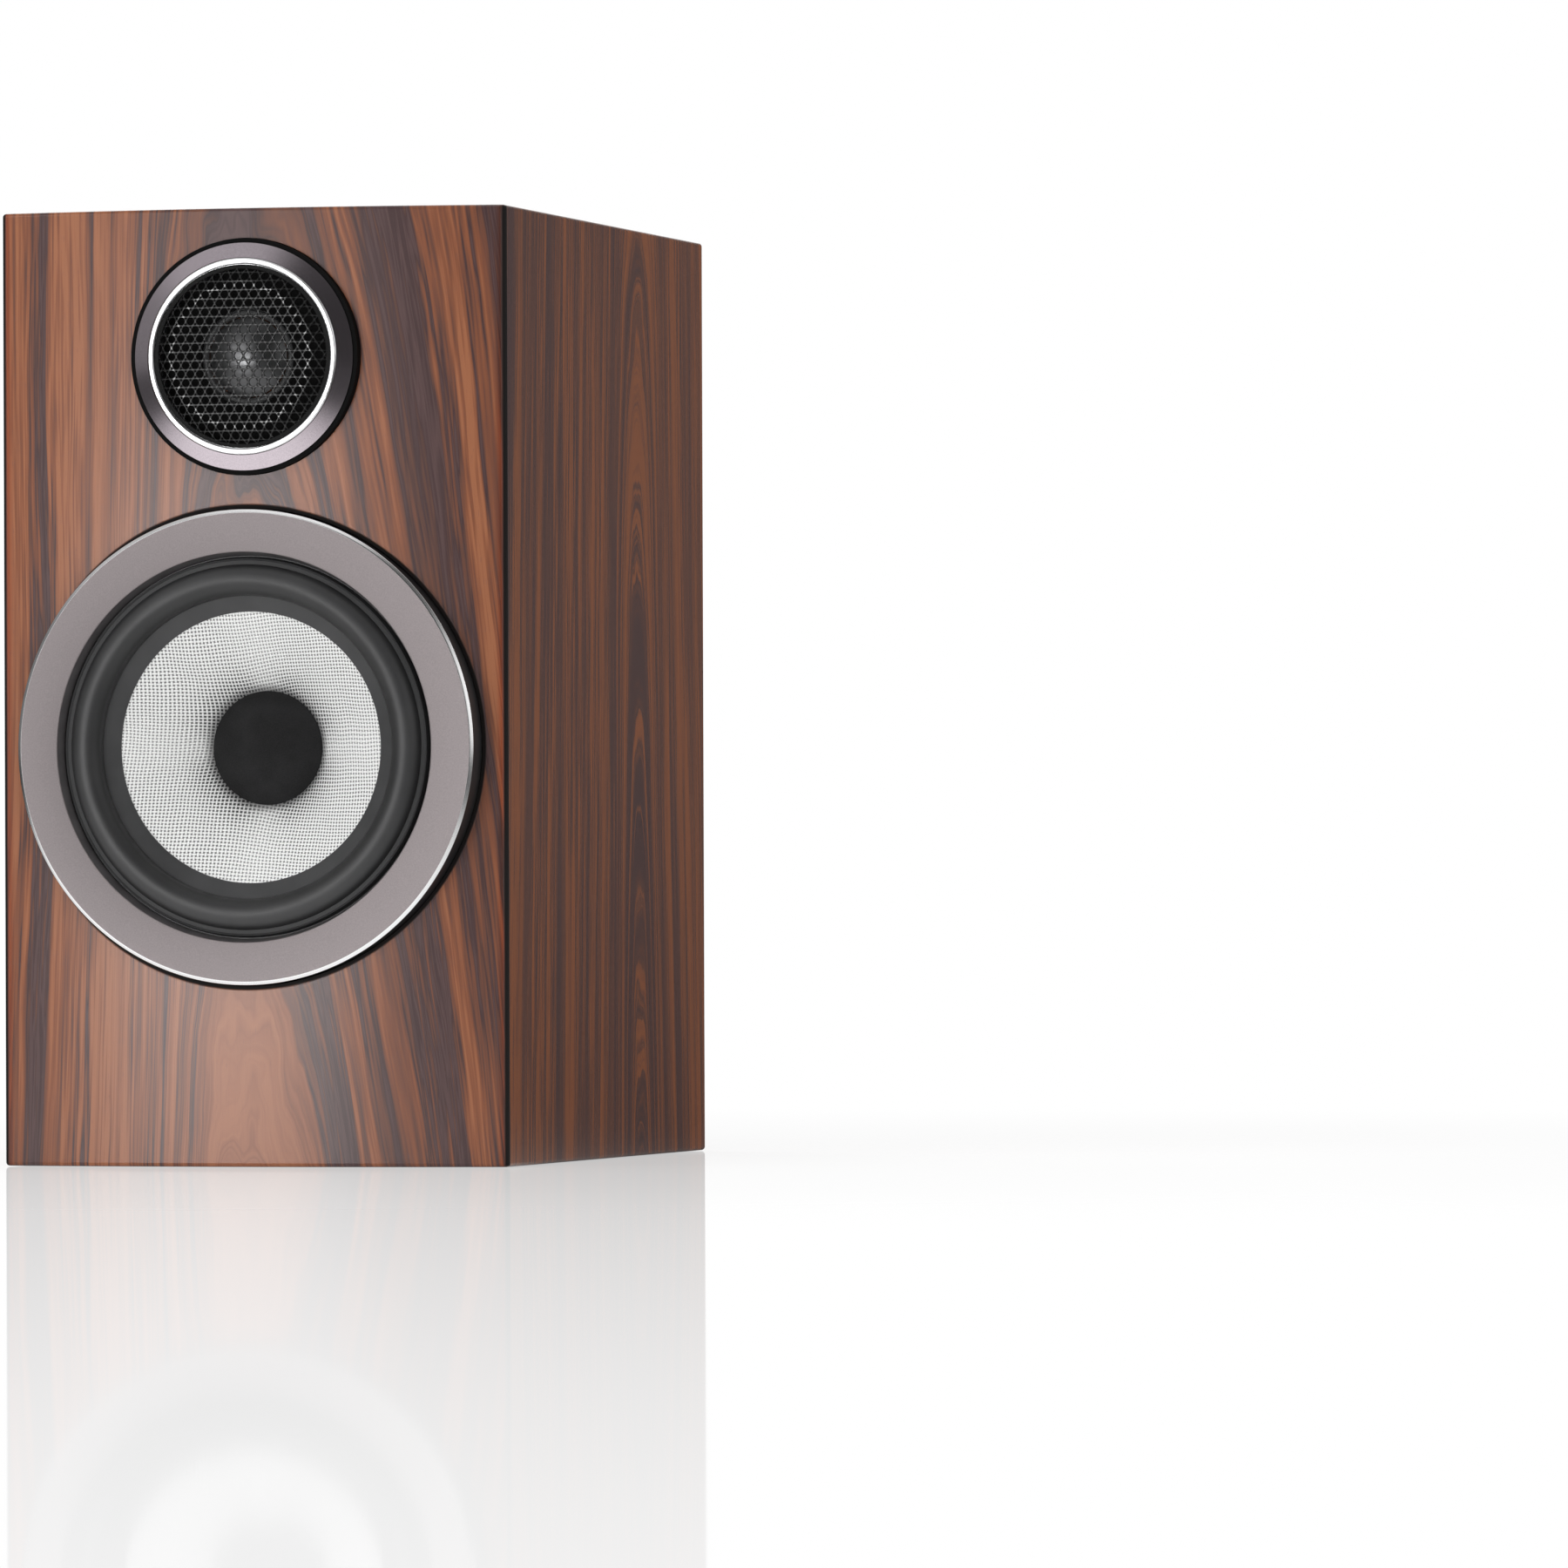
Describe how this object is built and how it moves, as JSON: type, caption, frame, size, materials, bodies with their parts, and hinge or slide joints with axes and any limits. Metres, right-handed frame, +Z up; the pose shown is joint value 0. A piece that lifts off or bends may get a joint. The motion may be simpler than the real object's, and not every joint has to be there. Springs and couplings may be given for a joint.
{
  "type": "bookshelf speaker",
  "caption": "Small two-way loudspeaker in a wood veneered cabinet with a curved front, a woven-cone woofer, a dome tweeter behind a mesh, a rear port and screw terminals.",
  "frame": {"origin": "centre of the cabinet's underside", "axes": "+Z up, the front faces -Y, +X is to the right seen from the front"},
  "size_m": [0.165, 0.2763, 0.3],
  "materials": {
    "veneer": "satin lacquered rosewood veneer, vertical grain",
    "board_wood": "plain fibreboard",
    "wadding": "loose polyester wadding",
    "steel": "zinc plated",
    "port_plastic": "satin moulded black",
    "terminal_plastic": "fine textured black",
    "foam": "closed cell foam",
    "black_screw": "black passivated steel",
    "gold": "gold plated",
    "red_plastic": "moulded red",
    "black_collar": "moulded black",
    "circuit_board": "solder mask",
    "capacitor_film": "film wrap",
    "copper": "enamelled copper wire",
    "ceramic": "white ceramic",
    "cast_basket": "black powder coat on cast alloy",
    "pod_plastic": "satin black moulding",
    "ring_metal": "satin warm grey",
    "tweeter_ring_metal": "satin warm grey",
    "bright_metal": "polished",
    "black_mesh": "semi-gloss black",
    "surround_rubber": "matte with a soft sheen",
    "spider_cloth": "resin treated cloth",
    "ferrite": "bare ferrite",
    "woven_cone": "stiff silver-white woven fibre",
    "plug_plastic": "matte black",
    "former_film": "amber film",
    "dome_metal": "satin"
  },
  "bodies": {
    "root": {"left_panel": "veneer", "right_panel": "veneer", "top_panel": "veneer", "bottom_panel": "veneer", "front_baffle": "veneer", "rear_panel": "veneer", "window_brace": "board_wood", "damping_wadding": "wadding", "grille_magnets": "steel", "port_flare": "port_plastic", "port_tube": "port_plastic", "terminal_plate": "terminal_plastic", "terminal_gasket": "foam", "terminal_plate_screws": "black_screw", "post_stems": "gold", "post_collars_positive": "red_plastic", "post_collars_negative": "black_collar", "post_nuts": "gold", "link_straps": "gold", "crossover_board": "circuit_board", "crossover_standoffs": "terminal_plastic", "capacitors": "capacitor_film", "inductor_coils": "copper", "inductor_bobbins": "terminal_plastic", "resistors": "ceramic", "woofer_basket": "cast_basket", "woofer_gasket": "foam", "woofer_pod": "pod_plastic", "woofer_trim_ring": "ring_metal", "driver_screws": "black_screw", "woofer_surround": "surround_rubber", "woofer_spider": "spider_cloth", "woofer_top_plate": "steel", "woofer_magnet": "ferrite", "woofer_yoke": "steel", "tweeter_pod": "pod_plastic", "tweeter_trim_ring": "tweeter_ring_metal", "tweeter_bright_ring": "bright_metal", "tweeter_mesh": "black_mesh", "tweeter_faceplate": "pod_plastic", "tweeter_surround": "surround_rubber", "tweeter_top_plate": "steel", "tweeter_magnet": "ferrite", "tweeter_yoke": "steel", "tweeter_tube": "cast_basket"},
    "woofer_moving": {"woofer_cone": "woven_cone", "woofer_plug": "plug_plastic", "voice_coil_former": "former_film", "voice_coil_winding": "copper"},
    "tweeter_moving": {"tweeter_dome": "dome_metal", "tweeter_coil": "copper"},
    "washer_1": {"clamp_washer_1": "gold"},
    "knob_1": {"post_knob_1": "gold"},
    "washer_2": {"clamp_washer_2": "gold"},
    "knob_2": {"post_knob_2": "gold"},
    "washer_3": {"clamp_washer_3": "gold"},
    "knob_3": {"post_knob_3": "gold"},
    "washer_4": {"clamp_washer_4": "gold"},
    "knob_4": {"post_knob_4": "gold"}
  },
  "joints": [
    {"name": "woofer_travel", "type": "slide", "parent": "root", "child": "woofer_moving", "axis": [0, -1, 0], "range_m": [-0.004, 0.004], "stiffness_N_per_m": 1000, "deforming": ["woofer_surround", "woofer_spider"]},
    {"name": "tweeter_travel", "type": "slide", "parent": "root", "child": "tweeter_moving", "axis": [0, -1, 0], "range_m": [-0.0004, 0.0004], "stiffness_N_per_m": 2000, "deforming": ["tweeter_surround"]},
    {"name": "washer_1_travel", "type": "slide", "parent": "root", "child": "washer_1", "axis": [0, 1, 0], "range_m": [0, 0.005]},
    {"name": "knob_1_turn", "type": "hinge", "parent": "washer_1", "child": "knob_1", "pos_m": [-0.036, 0.134, 0.06], "axis": [0, 1, 0], "range_deg": [0, 1800]},
    {"name": "washer_2_travel", "type": "slide", "parent": "root", "child": "washer_2", "axis": [0, 1, 0], "range_m": [0, 0.005]},
    {"name": "knob_2_turn", "type": "hinge", "parent": "washer_2", "child": "knob_2", "pos_m": [-0.012, 0.134, 0.06], "axis": [0, 1, 0], "range_deg": [0, 1800]},
    {"name": "washer_3_travel", "type": "slide", "parent": "root", "child": "washer_3", "axis": [0, 1, 0], "range_m": [0, 0.005]},
    {"name": "knob_3_turn", "type": "hinge", "parent": "washer_3", "child": "knob_3", "pos_m": [0.012, 0.134, 0.06], "axis": [0, 1, 0], "range_deg": [0, 1800]},
    {"name": "washer_4_travel", "type": "slide", "parent": "root", "child": "washer_4", "axis": [0, 1, 0], "range_m": [0, 0.005]},
    {"name": "knob_4_turn", "type": "hinge", "parent": "washer_4", "child": "knob_4", "pos_m": [0.036, 0.134, 0.06], "axis": [0, 1, 0], "range_deg": [0, 1800]}
  ],
  "couplings": [
    {"joint": "knob_1_turn", "follows": "washer_1_travel", "rad_per_m": 6283},
    {"joint": "knob_2_turn", "follows": "washer_2_travel", "rad_per_m": 6283},
    {"joint": "knob_3_turn", "follows": "washer_3_travel", "rad_per_m": 6283},
    {"joint": "knob_4_turn", "follows": "washer_4_travel", "rad_per_m": 6283}
  ]
}
